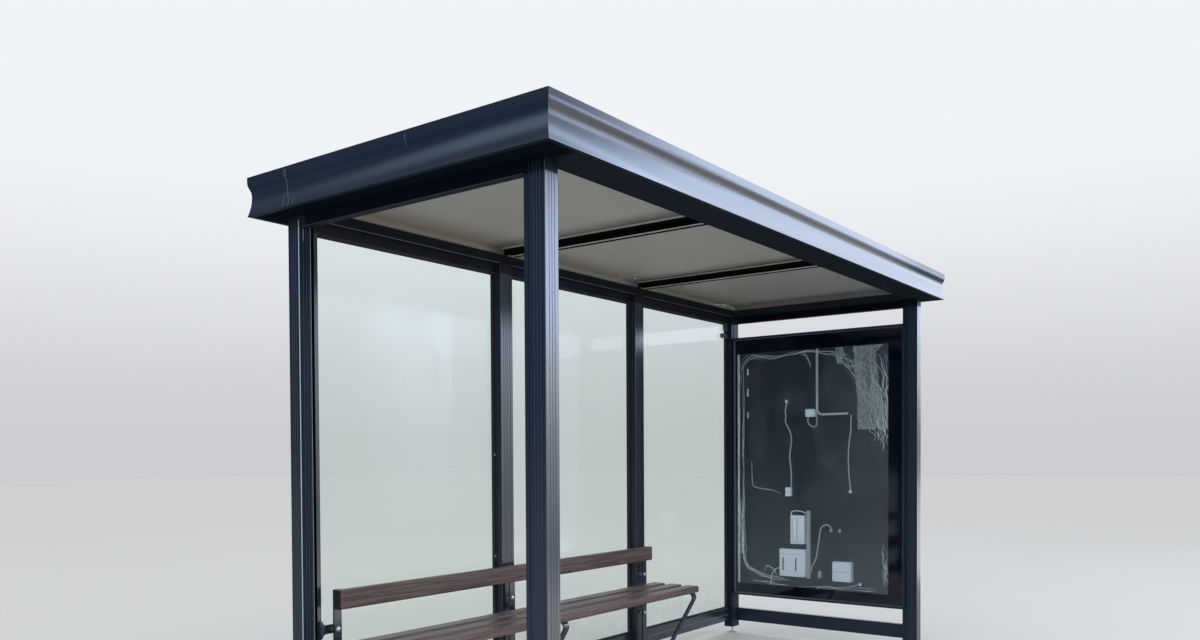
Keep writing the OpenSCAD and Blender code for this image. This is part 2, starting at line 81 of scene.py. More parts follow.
# %% [markdown]
# ## Shader arithmetic
# A material is a web of nodes, and most of its maths is plain sums: dust
# times height, one minus a mask. Wrapping a socket in a small class lets the
# script write those sums as Python expressions, and each operator adds the
# Math node that it stands for. Every other node comes from one method.

# %% Sockets that can be added and multiplied
class Wire:
    """A value in a node tree; + - * and / on it add Math nodes."""

    def __init__(self, tree, socket):
        self.tree, self.socket = tree, socket

    def math(self, operation, *values):
        return add_node(self.tree, "ShaderNodeMath", {"operation": operation},
                        dict(enumerate(values)))[0]

    def __add__(self, other): return self.math("ADD", self, other)
    def __radd__(self, other): return self.math("ADD", other, self)
    def __sub__(self, other): return self.math("SUBTRACT", self, other)
    def __rsub__(self, other): return self.math("SUBTRACT", other, self)
    def __mul__(self, other): return self.math("MULTIPLY", self, other)
    def __rmul__(self, other): return self.math("MULTIPLY", other, self)
    def __truediv__(self, other): return self.math("DIVIDE", self, other)
    def __rtruediv__(self, other): return self.math("DIVIDE", other, self)
    def __neg__(self): return self.math("MULTIPLY", self, -1.0)
    def __abs__(self): return self.math("ABSOLUTE", self)
    def at_least(self, other): return self.math("MAXIMUM", self, other)
    def at_most(self, other): return self.math("MINIMUM", self, other)


def add_node(tree, kind, settings=None, sockets=None):
    """Adds a node: settings first, then values or links; returns its outputs as wires."""
    node = tree.nodes.new(kind)
    for key, value in (settings or {}).items():
        setattr(node, key, value)
    for key, value in (sockets or {}).items():
        if isinstance(value, Wire):
            tree.links.new(value.socket, node.inputs[key])
        else:
            node.inputs[key].default_value = value
    return [Wire(tree, s) for s in node.outputs]


def smooth_step(tree, value, low, high):
    """Rises smoothly from 0 at low to 1 at high."""
    return add_node(tree, "ShaderNodeMapRange", {"interpolation_type": "SMOOTHSTEP"},
                    {0: value, 1: low, 2: high, 3: 0.0, 4: 1.0})[0]


print("wires ready")

# %% [markdown]
# ## One finish at a time
# Each finish is a Principled surface whose colour, roughness and bump vary
# with the place on the shelter. Object coordinates are used throughout: the
# pieces share one frame, so a metre in the shader is a metre of shelter and
# the dust line on a post meets the dust line on the rail beside it. In the
# steps below, the limits of x, y and z are therefore places in metres, and
# those of a facing run from 0, edge on, to 1, square on.

# %% A material being wired
def rgba(colour):
    return (*colour, 1.0)


class Finish:
    """A material in the making, with the few patterns that all finishes share."""

    def __init__(self, name):
        self.material = bpy.data.materials.new(name)
        self.material.use_nodes = True
        self.tree = self.material.node_tree
        self.tree.nodes.clear()
        self.place = self.node("ShaderNodeTexCoord")[3]
        self.x, self.y, self.z = self.node("ShaderNodeSeparateXYZ", sockets={0: self.place})
        _, normal, _, _, _, _, backfacing, *_ = self.node("ShaderNodeNewGeometry")
        self.outside = 1.0 - backfacing
        facings = self.node("ShaderNodeSeparateXYZ", sockets={0: normal})
        self.facing_x, self.facing_y, self.facing_up = facings

    def node(self, kind, settings=None, sockets=None):
        return add_node(self.tree, kind, settings, sockets)

    def noise(self, scale, detail=3.0, stretch=(1, 1, 1), rough=0.5, warp=0.0):
        """Cloudy noise from 0 to 1; stretch multiplies the scale along each axis."""
        spot = self.node("ShaderNodeMapping", sockets={0: self.place, 3: stretch})[0]
        return self.node("ShaderNodeTexNoise", sockets={
            "Vector": spot, "Scale": scale, "Detail": detail, "Roughness": rough,
            "Distortion": warp})[0]

    def step(self, value, low, high):
        """Rises smoothly from 0 at low to 1 at high."""
        return smooth_step(self.tree, value, low, high)

    def fade(self, value, low, high):
        """Falls smoothly from 1 at low to 0 at high."""
        return 1.0 - self.step(value, low, high)

    def band(self, value, low, full_low, full_high, high):
        """Rises from 0 at low to 1 at full_low, and falls from 1 at full_high to 0 at high."""
        return self.step(value, low, full_low) * self.fade(value, full_high, high)

    def blend(self, share, one, other):
        """Colour one where share is 0, other where it is 1."""
        pick = lambda c: c if isinstance(c, Wire) else rgba(c)
        return self.node("ShaderNodeMix", {"data_type": "RGBA"},
                         {0: share, 6: pick(one), 7: pick(other)})[2]

    def bump(self, height, distance, strength=1.0):
        """A normal tilted by a height; distance is the height of 1, in metres."""
        return self.node("ShaderNodeBump", sockets={
            "Height": height, "Distance": distance, "Strength": strength})[0]

    def surface(self, **sockets):
        """A Principled surface from socket names with underscores for spaces."""
        named = {name.replace("_", " "): value for name, value in sockets.items()}
        return self.node("ShaderNodeBsdfPrincipled", sockets=named)[0]

    def mirror(self):
        """Glass's mirror share by Fresnel's law, on faces seen from outside the pane alone."""
        return self.node("ShaderNodeFresnel", sockets={"IOR": 1.45})[0] * self.outside

    def over_clear(self, share, face, tint=(1, 1, 1)):
        """The face where share is 1, a see-through surface where it is 0."""
        through = self.node("ShaderNodeBsdfTransparent", sockets={0: rgba(tint)})[0]
        return self.node("ShaderNodeMixShader", sockets={0: share, 1: through, 2: face})[0]

    def done(self, shader):
        self.node("ShaderNodeOutputMaterial", sockets={0: shader})
        return self.material


print("finish helper ready")

# %% [markdown]
# ### Marks and painted highlights on the frame
# The back left post has lost its shine on its square front face. Pale lines
# along its two front arrises are painted highlights, and one short pale run
# lies near the top of its face. The roof's dirty water has left thin pale
# runs down the left fascia. Each mark is a mask: a product of steps that is 1
# inside its box and 0 outside.

# %% Marks and painted highlights on the frame
post_tops = 2.395
square_face = 0.6575


def dull_face(f):
    """1 on the square front face of the back left post."""
    on_face = f.band(f.y, square_face - 0.0015, square_face - 0.0005,
                     square_face + 0.001, square_face + 0.002)
    return (f.fade(f.x, -1.8965, -1.8955) * f.step(-f.facing_y, 0.8, 0.9) * on_face
            * f.fade(f.z, post_tops - 0.001, post_tops + 0.001))


def arris_highlights_and_run(f):
    """1 along that post's two front arrises and down one short run."""
    streaky = 0.75 + f.noise(35.0, 4.0, stretch=(1, 1, 0.3)) * 0.6
    on_face = f.band(f.y, square_face - 0.0015, square_face - 0.0005,
                     square_face + 0.0025, square_face + 0.004)
    outer = f.fade(f.x, -1.9682, -1.9668)
    inner = f.band(f.x, -1.9118, -1.9108, -1.9088, -1.9078)
    run = f.fade(abs(f.x + 1.947), 0.0015, 0.0030) * f.step(f.z, 2.285, 2.300)
    return (outer + inner * 0.7 + run * 0.6).at_most(1.0) * on_face * f.fade(f.z, 2.37, 2.38) * streaky


def fascia_runs(f):
    """1 along each dried run: a line of constant y, wandering a little as z falls."""
    wander = (f.noise(9.0, 2.0) - 0.5) * 0.03
    total = 0.0
    for y, top, low, width in ((0.578, 2.56, 2.44, 0.0028), (0.599, 2.47, 2.40, 0.002),
                               (0.566, 2.46, 2.40, 0.002), (0.538, 2.44, 2.40, 0.0018),
                               (-0.153, 2.56, 2.51, 0.002), (0.590, 2.56, 2.52, 0.0018)):
        line = f.fade(abs(f.y - y - wander), width * 0.4, width)
        total = line * f.band(f.z, low - 0.01, low + 0.01, top - 0.01, top) + total
    return total * f.step(-f.facing_x, 0.7, 0.9) * f.step(f.noise(60.0, 2.0), 0.2, 0.6)


print("marks ready")

# %% [markdown]
# ### Frame paint
# The posts, rails and fascia are aluminium with a dark blue-grey paint under
# a glossy lacquer, so the shader is a matt body with a clear coat over it.
# Rain keeps the faces bright, while the undersides, the faces on the left
# and the places close under the roof keep a film of soot that kills the
# gloss: there the coat's weight falls. It falls a little too where the front
# fascia has weathered. Close under the roof the colour also goes near black,
# which is painted shade from the roof. Pale lines along the posts' flutes and
# rounded arrises are dust in the flutes and painted highlight, and the pale
# line along the rails' grooves is a painted highlight. The grey under the
# front fascia's lip is a painted reflection, and the paler band along the
# left cove's middle is a painted highlight.

# %% Frame paint
def frame_paint():
    f = Finish("frame_paint")
    cloud = f.noise(2.2, 4.0)
    on_left, on_front = f.step(-f.facing_x, 0.5, 0.9), f.step(-f.facing_y, 0.5, 0.9)
    near_roof = f.band(f.z, 2.336, 2.348, post_tops - 0.001, post_tops + 0.002)
    # Painted shade: close under the roof the paint goes near black, most on the left faces.
    shade_under_roof = f.blend(f.step(f.y, 0.60, 0.62), (0.001, 0.002, 0.004), (0.012, 0.011, 0.013))
    body = f.blend(cloud, (0.007, 0.015, 0.033), (0.011, 0.021, 0.042))
    body = f.blend(near_roof * (0.7 + on_left * 0.25), body, shade_under_roof)

    # Painted highlight: a paler band along the middle of the left cove, stronger towards the front.
    towards_front = f.fade(f.y, -0.80, 0.70)
    height = f.z + 0.035 - towards_front * 0.026
    paleness = (on_left * f.band(height, 2.430, 2.472, 2.478, 2.512)
             * (0.12 + towards_front * 0.48) * (0.85 + cloud * 0.3))
    body = f.blend(paleness, body, (0.085, 0.125, 0.175))

    # Pale lines in the flutes and on the rounded arrises: dust in the flutes and painted highlight.
    square_on = abs(f.facing_x).at_least(abs(f.facing_y)).at_least(abs(f.facing_up))
    flutes_and_arrises = f.fade(square_on, 0.93, 0.99) * f.fade(f.z, 2.36, 2.39)
    low_dust = f.fade(f.z, 0.02, 0.30) * f.noise(14.0, 5.0) * (0.03 + on_front * 0.08)
    top_dust = f.step(f.facing_up, 0.6, 0.95) * f.noise(30.0, 5.0)
    # A painted highlight along the back rail's groove.
    groove_highlight = (f.band(f.z, 0.1375, 0.1385, 0.1435, 0.1470)
                 * f.step(f.y, 0.6930, 0.6935) * f.fade(f.x, 1.87, 1.89))
    # Pale marks: real dust low down, on top faces and in the fascia's runs, plus the painted highlights
    # above.
    pale_marks = (low_dust + top_dust * 0.30 + flutes_and_arrises * 0.22 + groove_highlight * 0.8
            + fascia_runs(f) * 0.5).at_most(0.8)
    body = f.blend(pale_marks, body, (0.22, 0.25, 0.29))

    # Painted reflection: grey on the downward faces under the front fascia's lip, most at the left.
    undercut_reflection = (f.step(-f.facing_up, 0.02, 0.30) * f.step(-f.facing_y, 0.1, 0.3)
                * f.step(f.z, 2.455, 2.475) * (1.0 - f.step(f.x, 0.2, 2.0) * 0.8))
    body = f.blend(undercut_reflection * 0.32, body, (0.31, 0.31, 0.31))
    # Painted highlights along the back left post's front arrises, and one pale run down its face.
    body = f.blend(arris_highlights_and_run(f) * 0.85, body, (0.42, 0.48, 0.56))

    underside = f.step(-f.facing_up, 0.08, 0.45)
    corner = (f.step(f.x, 1.860, 1.868) * f.step(f.y, 0.650, 0.656)
              * f.fade(f.z, post_tops, post_tops + 0.005))
    weathered = f.step(f.z, post_tops, post_tops + 0.005) * f.step(-f.facing_y, 0.2, 0.5) * (
        f.fade(f.x, -2.05, -1.10) * 0.45 + f.step(f.z, 2.50, 2.51) * f.step(f.x, 1.05, 1.75) * 0.38)
    dull = (underside * 0.92 + on_left * (0.75 - f.step(f.z, 2.430, 2.450) * 0.28)
            + near_roof * 0.85 + corner * 0.8 + weathered + dull_face(f) * 0.95)
    return f.done(f.surface(
        Base_Color=body, Roughness=0.62 + cloud * 0.1, Specular_IOR_Level=0.06,
        Coat_Weight=(1.0 - dull - pale_marks * 0.6).at_least(0.0), Coat_Roughness=0.19, Coat_IOR=1.75,
        Normal=f.bump(f.noise(420.0, 2.0), 0.00025, 0.25)))


paint = frame_paint()
print("made", paint.name)

# %% [markdown]
# ### Soffit paint
# The roof's underside and the cross bars have a dead-matt black coat. A
# smooth face seen at a low slant would mirror the pale floor however dark its
# paint, so this one has no mirror share at all. The cross bars are blacker
# still, and the left end goes near black with painted shade.

# %% Soffit paint
def soffit_paint():
    f = Finish("soffit_paint")
    cloud = f.noise(3.0, 4.0)
    scuff = f.step(f.noise(60.0, 4.0, stretch=(0.15, 1, 1)), 0.62, 0.8)
    base = f.blend(cloud, (0.012, 0.017, 0.022), (0.018, 0.024, 0.030))
    # Painted shade: the left end goes near black.
    base = f.blend(f.fade(f.x, -1.93, -1.90) * 0.75, base, (0.001, 0.003, 0.008))
    base = f.blend(f.band(f.z, 2.441, 2.446, 2.52, 2.53) * 0.75, base, (0.002, 0.002, 0.004))
    return f.done(f.surface(
        Base_Color=f.blend(scuff * 0.3, base, (0.030, 0.032, 0.036)),
        Roughness=0.75 + cloud * 0.1, Specular_IOR_Level=0.0,
        Normal=f.bump(f.noise(380.0, 2.0), 0.0002, 0.25)))


soffit = soffit_paint()
print("made", soffit.name)

# %% [markdown]
# ### Ceiling sheet
# The ceiling panels are thin sheet, once pale grey. Condensation and dust
# have left them beige. Water that creeps in along the roof's back edge has
# stained them yellow in front of the rim. A painted soft shadow darkens them
# to the left of each cross bar, and painted shade darkens them towards the
# poster case and at their right end.

# %% Ceiling sheet
def ceiling_sheet():
    f = Finish("ceiling_sheet")
    cloud = f.noise(1.3, 5.0, rough=0.6)
    speck = f.step(f.noise(90.0, 3.0), 0.70, 0.78)
    wave = f.noise(5.0, 2.0, stretch=(1, 0.25, 1))
    patchy = f.noise(9.0, 5.0, stretch=(1, 1.6, 1))
    rim = f.step(abs(f.y), 0.6388, 0.6396)
    low_rim = rim * f.fade(f.z, 2.453, 2.457)
    stain = f.step(f.y, 0.34, 0.60) * (1.0 - low_rim) * (0.35 + patchy * 0.7)
    front_rim = f.fade(f.y, -0.66, -0.60) * 0.4
    sheet = f.blend(cloud, (0.280, 0.262, 0.243), (0.345, 0.322, 0.297))
    # Painted shade: darker towards the poster case and at the sheet's right end.
    shade_towards_case = f.step(f.x, 0.1, 1.9) * 0.45 + f.step(f.x, 1.72, 1.86) * 0.5
    stained_and_shaded = f.blend(shade_towards_case.at_most(0.9), sheet, (0.120, 0.112, 0.104))
    stained_and_shaded = f.blend((stain * 0.75 + front_rim).at_most(0.8), stained_and_shaded, (0.170, 0.148, 0.092))
    stained_and_shaded = f.blend(low_rim * f.step(f.y, 0.0, 0.1) * 0.8, stained_and_shaded, (0.27, 0.245, 0.195))
    # Painted soft shadow on the sheet to the left of each cross bar, broken into patches.
    drift = (f.noise(4.0, 4.0, stretch=(1.5, 0.6, 1)) - 0.5) * 0.10
    shadow_beside_bar = (f.step(f.x + drift, -0.88, -0.695) * f.fade(f.x, -0.66, -0.65)
                  + f.step(f.x + drift, 0.40, 0.580) * f.fade(f.x, 0.62, 0.63))
    stained_and_shaded = f.blend(shadow_beside_bar * (0.55 + patchy * 0.45), stained_and_shaded, (0.055, 0.050, 0.044))
    return f.done(f.surface(
        Base_Color=f.blend(speck * 0.25, stained_and_shaded, (0.11, 0.09, 0.06)),
        Roughness=0.55 + cloud * 0.1,
        Normal=f.bump(wave, 0.002, 0.35)))


ceiling_finish = ceiling_sheet()
print("made", ceiling_finish.name)

# %% [markdown]
# ### Roof sheet
# The roof deck is matt dark grey. Rain dries on it in pools, so the dust
# lies in soft-edged tide marks.

# %% Roof sheet
def roof_sheet():
    f = Finish("roof_sheet")
    pool = f.noise(2.6, 5.0, warp=0.2)
    tide = f.fade(abs(pool - 0.52), 0.0, 0.035)
    grit = f.noise(120.0, 4.0)
    pale_marks = (f.step(pool, 0.35, 0.75) * 0.16 + tide * 0.05) * (0.6 + grit * 0.6)
    return f.done(f.surface(
        Base_Color=f.blend(pale_marks.at_most(1.0), (0.042, 0.047, 0.054), (0.22, 0.20, 0.17)),
        Roughness=0.58 + pale_marks * 0.3,
        Normal=f.bump(grit, 0.0006, 0.4)))


roof_finish = roof_sheet()
print("made", roof_finish.name)

# %% [markdown]
# ### Clear glass
# A pane shows what is behind it and a little of what is in front. A real
# refracting pane would block the studio light in a path tracer, so the pane
# is a mix of a see-through surface and a mirror. Fresnel sets the mirror's
# share, which grows at grazing angles, and a film of dust adds to it near
# the bottom edge. Only faces seen from outside the pane count, or the far
# face would mirror everything back, as it does under water.

# %% Clear glass
mirror_colour = (0.9, 0.93, 0.93)


def clear_glass():
    f = Finish("clear_glass")
    low = f.fade(f.z, 0.19, 0.60) * f.noise(18.0, 5.0)
    drops = f.step(f.noise(150.0, 2.0, stretch=(1, 1, 0.5)), 0.72, 0.78)
    veil = f.step(f.noise(1.4, 4.0, warp=0.4), 0.4, 0.75)
    dirt = low * 0.16 + drops * 0.05 + veil * 0.02
    mirror = f.mirror() * 0.55
    share = (mirror + dirt * f.outside).at_most(1.0)
    glint = mirror / (share + 0.001)
    face = f.surface(Base_Color=f.blend(glint, (0.32, 0.31, 0.28), mirror_colour),
                     Metallic=glint, Roughness=0.03 + (1.0 - glint) * 0.4)
    return f.done(f.over_clear(share, face, (0.93, 0.965, 0.95)))


glass = clear_glass()
print("made", glass.name)

# %% [markdown]
# ### Case glass
# The poster case's pane has an opaque black border fired onto its back, and
# a clear window inside it. The window is a box in Object coordinates, with
# one smooth step for each of its four sides. Hands and dust have hazed the
# clear part, most of all low down, and a painted reflection adds to the haze
# towards the front.

# %% Case glass
window_y = (-0.5385, 0.6215)
window_z = (0.391, 2.106)


def window_mask(f, soft=0.0006):
    """1 inside the clear window, 0 on the black border."""
    inside = lambda value, low, high: f.band(value, low - soft, low + soft, high - soft, high + soft)
    return inside(f.y, *window_y) * inside(f.z, *window_z)


def case_glass():
    f = Finish("case_glass")
    clear = window_mask(f)
    mirror = f.mirror()
    smear = f.step(f.noise(3.0, 5.0, warp=1.2), 0.42, 0.8)
    reflection_to_front = f.step(-f.y, -0.1, 0.6)
    low = f.fade(f.z, 0.35, 1.1)
    streaky = f.step(f.noise(14.0, 6.0, stretch=(1, 1, 0.35), rough=0.7), 0.5, 0.8)
    # Smears and dust haze the clear part; the term towards the front is a painted reflection.
    haze_and_reflection = (0.012 + smear * 0.05 + reflection_to_front * 0.05 + low * 0.085 + streaky * 0.06) * f.outside
    share = (1.0 - clear) + clear * (mirror + haze_and_reflection)
    glint = clear * mirror / (mirror + haze_and_reflection + 0.001)
    grime = f.step(f.noise(24.0, 5.0), 0.55, 0.8) * 0.02
    colour = f.blend(clear, (0.0006, 0.0020, 0.0095), (0.33, 0.41, 0.47))
    face = f.surface(Base_Color=f.blend(glint, colour, mirror_colour), Metallic=glint,
                     Roughness=0.06 + grime + (1.0 - glint) * clear * 0.4)
    return f.done(f.over_clear(share, face, (0.92, 0.96, 0.97)))


poster_glass = case_glass()
print("made", poster_glass.name)

# %% [markdown]
# ### Rubber, plastic and zinc
# The glazing beads are black rubber, matt with a bloom of grey. The units in
# the case are moulded pale plastic, apart from the tall cable trunk, a small
# block and two sockets, which have gone grey. The leads have grey sheaths,
# and the adjustable feet and spacers are zinc plated, with the plating's
# mottled crystals.

# %% Rubber, plastic, sheath and zinc
def bead_rubber():
    f = Finish("bead_rubber")
    paleness = f.noise(40.0, 5.0)
    return f.done(f.surface(
        Base_Color=f.blend(f.step(paleness, 0.45, 0.8) * 0.5, (0.009, 0.009, 0.010), (0.045, 0.045, 0.045)),
        Roughness=0.55 + paleness * 0.2, Normal=f.bump(f.noise(500.0, 2.0), 0.0002, 0.4)))


def unit_plastic():
    f = Finish("unit_plastic")
    yellowing = f.noise(5.0, 3.0)
    pale = f.blend(yellowing, (0.86, 0.88, 0.99), (0.90, 0.90, 0.97))
    between = lambda value, low, high: f.band(value, low - 0.001, low, high, high + 0.001)
    aged = (between(f.y, 0.064, 0.092) * f.fade(f.z, 1.0, 1.01)
            + between(f.y, -0.021, 0.003) * f.fade(f.z, 0.55, 0.56)
            + between(f.y, -0.168, -0.082) * between(f.z, 0.76, 0.85)) * 0.9
    return f.done(f.surface(
        Base_Color=f.blend(aged, pale, (0.34, 0.38, 0.42)),
        Roughness=0.38 + yellowing * 0.1, Normal=f.bump(f.noise(900.0, 2.0), 0.0001, 0.35)))


def lead_sheath():
    f = Finish("lead_sheath")
    grime = f.noise(30.0, 4.0)
    return f.done(f.surface(
        Base_Color=f.blend(f.step(grime, 0.5, 0.9) * 0.4, (0.56, 0.57, 0.56), (0.25, 0.24, 0.22)),
        Roughness=0.42 + grime * 0.15))


def bare_steel():
    f = Finish("bare_steel")
    cells = f.node("ShaderNodeTexVoronoi", sockets={"Vector": f.place, "Scale": 160.0})[0]
    rust = f.step(f.noise(45.0, 5.0), 0.62, 0.74) * f.fade(f.z, 0.01, 0.05) * 0.7
    return f.done(f.surface(
        Base_Color=f.blend(rust, f.blend(cells, (0.42, 0.43, 0.45), (0.55, 0.56, 0.58)),
                           (0.12, 0.055, 0.025)),
        Metallic=1.0 - rust, Roughness=0.34 + cells * 0.15 + rust * 0.4))


rubber, plastic, sheath, zinc = bead_rubber(), unit_plastic(), lead_sheath(), bare_steel()
print("made", [m.name for m in (rubber, plastic, sheath, zinc)])

# %% [markdown]
# ### Stained wood
# The bench's slats are planed softwood under a brown stain. The grain runs
# along X, so the noise is stretched that way: long dark lines a few
# millimetres apart, bent a little round a knot. Use has worn the stain away
# in grey patches, most of all on top of the seat.

# %% Stained wood
def slat_wood():
    f = Finish("slat_wood")
    bend = f.noise(3.0, 2.0, stretch=(0.5, 1, 1)) * 0.02
    rings = f.node("ShaderNodeCombineXYZ", sockets={
        0: f.x * 1.2, 1: (f.y + bend) * 55.0, 2: (f.z + bend) * 55.0})[0]
    grain = f.node("ShaderNodeTexNoise", sockets={"Vector": rings, "Scale": 2.2, "Detail": 6.0,
                                                  "Roughness": 0.62, "Distortion": 0.5})[0]
    pores = f.step(f.noise(260.0, 3.0, stretch=(0.05, 1, 1)), 0.58, 0.72)
    worn = f.step(f.noise(4.0, 5.0, stretch=(0.5, 1, 1), rough=0.65), 0.45, 0.75)
    on_top = f.step(f.facing_up, 0.2, 0.9)
    stain = f.blend(f.step(grain, 0.38, 0.66), (0.040, 0.020, 0.018), (0.155, 0.092, 0.083))
    grey = f.blend(grain, (0.13, 0.105, 0.10), (0.27, 0.23, 0.215))
    aged = f.blend((worn * 0.55 * on_top + worn * 0.2).at_most(1.0), stain, grey)
    # End faces go near black: end grain soaks up stain, and the rest is painted shade.
    shaded_end_grain = f.step(abs(f.facing_x), 0.7, 0.9)
    pored = f.blend(pores * 0.45, aged, (0.012, 0.006, 0.005))
    return f.done(f.surface(
        Base_Color=f.blend(shaded_end_grain, pored, (0.014, 0.010, 0.012)),
        Roughness=0.44 + worn * 0.22 - on_top * 0.05,
        Normal=f.bump(grain * 0.6 + pores * -0.5, 0.0012, 0.5)))


wood = slat_wood()
print("made", wood.name)

# %% [markdown]
# ### Finishes on the solids
# The shelter's record says which finish each solid wears. A solid's surface
# is one material slot: its stand-in material goes out and the finish goes in.
# Nothing else about a solid is touched.

# %% Give every solid its finish
finishes = {
    "frame_paint": paint, "soffit_paint": soffit, "ceiling_sheet": ceiling_finish,
    "roof_sheet": roof_finish, "clear_glass": glass, "case_glass": poster_glass,
    "bead_rubber": rubber, "unit_plastic": plastic, "lead_sheath": sheath,
    "slat_wood": wood, "bare_steel": zinc,
}
for part in frame["record"]["subparts"]:
    solid = nodes[part["node"]]
    solid.data.materials.clear()
    solid.data.materials.append(finishes[part["material_slot"]])

# %% [markdown]
# ## Trim from formulas
# What is too fine for the solids is made here as surfaces: numpy works out
# every point of a piece in one sum, and Blender gets the finished grid. A
# turned profile gives screws and bolts, a stack of rings gives strips and
# tubes, and an open grid gives film. Pieces ride on the shelter's one body.

# %% Shapes
def lathe(profile, sides=28):
    """Turns (radius, height) pairs about Z: point (i, j) = (r_i cos a_j, r_i sin a_j, h_i).

    The first and the last pair lie on the axis and close the ends as fans."""
    radius, height = np.array(profile, float).T
    angle = np.arange(sides) * 2 * math.pi / sides
    rings = np.stack([radius[1:-1, None] * np.cos(angle), radius[1:-1, None] * np.sin(angle),
                      np.repeat(height[1:-1, None], sides, axis=1)], -1)
    points = np.vstack([[[0, 0, height[0]]], rings.reshape(-1, 3), [[0, 0, height[-1]]]])
    index = 1 + np.arange(len(points) - 2).reshape(-1, sides)
    ahead = np.roll(index, -1, axis=1)
    walls = np.stack([index[:-1], ahead[:-1], ahead[1:], index[1:]], -1).reshape(-1, 4)
    foot = np.stack([np.zeros(sides, int), ahead[0], index[0]], -1)
    head = np.stack([np.full(sides, len(points) - 1), index[-1], ahead[-1]], -1)
    return points, [walls, foot, head]


def loft(rings):
    """Skins closed rings: point (i, j) meets (i, j + 1) and (i + 1, j), with a lid at each end."""
    sides = rings.shape[1]
    index = np.arange(rings.shape[0] * sides).reshape(-1, sides)
    ahead = np.roll(index, -1, axis=1)
    walls = np.stack([index[:-1], ahead[:-1], ahead[1:], index[1:]], -1).reshape(-1, 4)
    return rings.reshape(-1, 3), [walls, index[:1, ::-1], index[-1:]]


def bar(low, high, axis, power=7.0, sides=32):
    """A bar between two corners whose section is |u / a|^n + |v / b|^n = 1, its ends drawn in."""
    low, high = np.array(low, float), np.array(high, float)
    middle, half = (low + high) / 2, (high - low) / 2
    u, v = (axis + 1) % 3, (axis + 2) % 3
    angle = (np.arange(sides) + 0.5) * 2 * math.pi / sides
    reach = (np.abs(np.cos(angle)) ** power + np.abs(np.sin(angle)) ** power) ** (-1 / power)
    inset = min(half[u], half[v]) * np.array([0.35, 0.1, 0.0, 0.0, 0.1, 0.35])
    along = (half[axis] * np.array([-1, -1, -1, 1, 1, 1.0])
             + inset.max() * np.array([0, 0.3, 1, -1, -0.3, 0]))
    rings = np.zeros((6, sides, 3)) + middle
    rings[..., u] += (half[u] - inset[:, None]) * reach * np.cos(angle)
    rings[..., v] += (half[v] - inset[:, None]) * reach * np.sin(angle)
    rings[..., axis] += along[:, None]
    return loft(rings)


def smooth_path(points, steps=12):
    """A Catmull-Rom curve: it passes each point with the slope between its two neighbours."""
    p = np.array(points, float)
    p = np.vstack([2 * p[0] - p[1], p, 2 * p[-1] - p[-2]])
    t = (np.arange(steps) / steps)[None, :, None]
    a, b, c, d = p[:-3, None], p[1:-2, None], p[2:-1, None], p[3:, None]
    curve = 0.5 * (2 * b + (c - a) * t + (2 * a - 5 * b + 4 * c - d) * t ** 2
                   + (3 * b - a - 3 * c + d) * t ** 3)
    return np.vstack([curve.reshape(-1, p.shape[1]), p[-2]])


def tube(path, radius, sides=14):
    """A circle carried along a path: path_i + r (side_i cos a_j + lift_i sin a_j)."""
    heading = np.gradient(path, axis=0)
    heading /= np.linalg.norm(heading, axis=1, keepdims=True)
    side = np.cross(heading, [1.0, 0, 0])
    side /= np.linalg.norm(side, axis=1, keepdims=True)
    lift = np.cross(heading, side)
    angle = (np.arange(sides) * 2 * math.pi / sides)[None, :, None]
    return loft(path[:, None] + radius * (side[:, None] * np.cos(angle) + lift[:, None] * np.sin(angle)))


def skin(points):
    """An open grid of points: (i, j), (i + 1, j), (i + 1, j + 1) and (i, j + 1) bound a face."""
    rows, columns = points.shape[:2]
    index = np.arange(rows * columns).reshape(rows, columns)
    faces = np.stack([index[:-1, :-1], index[1:, :-1], index[1:, 1:], index[:-1, 1:]], -1)
    return points.reshape(-1, 3), [faces.reshape(-1, 4)]


turns = {"-y": np.array([[1, 0, 0], [0, 0, -1], [0, 1, 0]]),
         "-x": np.array([[0, 0, -1], [0, 1, 0], [1, 0, 0]]),
         "-z": np.array([[1, 0, 0], [0, -1, 0], [0, 0, -1]])}


def copies(shape, spots, out):
    """The same shape at many spots, its Z axis turned to point outwards."""
    points, faces = shape
    turned = points @ turns[out].T
    return [(turned + np.array(spot), faces) for spot in spots]


def make(name, shapes, material):
    """Joins shapes into one piece with a material, riding on the shelter."""
    starts = np.cumsum([0] + [len(points) for points, _ in shapes])
    faces = [row for start, (_, groups) in zip(starts, shapes) for group in groups
             for row in (group + start).tolist()]
    mesh = bpy.data.meshes.new(name)
    mesh.from_pydata(np.vstack([points for points, _ in shapes]), [], faces)
    mesh.polygons.foreach_set("use_smooth", np.ones(len(mesh.polygons), bool))
    mesh.set_sharp_from_angle(angle=math.radians(38))
    mesh.materials.append(material)
    piece = bpy.data.objects.new(name, mesh)
    bpy.context.scene.collection.objects.link(piece)
    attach(piece, "root")
    print(name, len(mesh.polygons), "faces")


print("shapes ready")

# %% [markdown]
# ### Strips beside the cross bars
# A black cover wider than the bar is clipped under each cross bar. To its
# right a slim pale strip and a slim black one hang a few millimetres lower,
# and on its left a flat strip lies against the sheet. A brown strip under the
# back beam, in three lengths between the posts, is a painted highlight along
# the beam's lower arris, and a black strip down the back left post's front is
# a painted shadow in the groove beside its flange. They are single extrusions,
# so each is one bar with its arrises rounded off. A hair's breadth of air
# keeps each strip's face from coinciding with the solid's face beside it.

# %% Ceiling strips
def strip_finish(name, colour, worn):
    f = Finish(name)
    cloud = f.noise(7.0, 4.0)
    grime = f.step(f.noise(22.0, 5.0, stretch=(1, 0.2, 1)), 0.5, 0.8)
    return f.done(f.surface(Base_Color=f.blend(grime * 0.5, colour, worn), Specular_IOR_Level=0.0,
                            Roughness=0.6 + cloud * 0.15))


